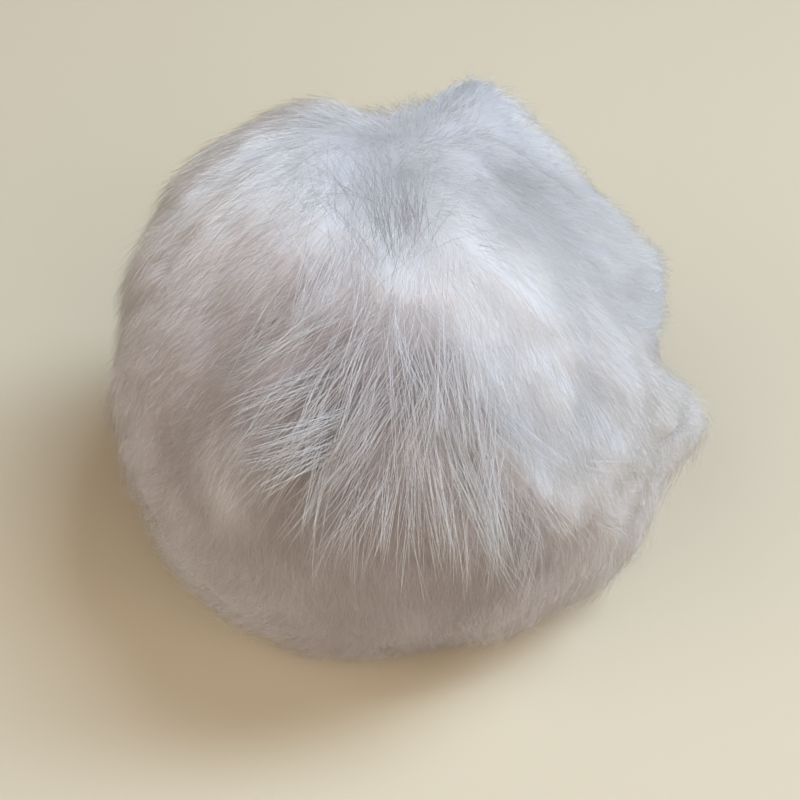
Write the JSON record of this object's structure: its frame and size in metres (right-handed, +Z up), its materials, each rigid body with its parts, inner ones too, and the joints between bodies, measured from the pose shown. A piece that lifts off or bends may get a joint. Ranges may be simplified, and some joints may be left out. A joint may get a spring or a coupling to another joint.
{
  "type": "fur pom pom",
  "caption": "Fluffy pale grey pom pom, a dense ball of long soft fur parted from a crown, with uneven tufts round its outline and a small flat spot to rest on.",
  "frame": {"origin": "middle of the small flat spot under the ball, at table level", "axes": "+Z up; the crown that the fur parts from leans towards -Y, and the tallest tuft is towards +Y"},
  "size_m": [0.0805, 0.0776, 0.0688],
  "materials": {
    "fur": "soft matt fur"
  },
  "bodies": {
    "root": {"fur_ball": "fur"}
  },
  "joints": []
}
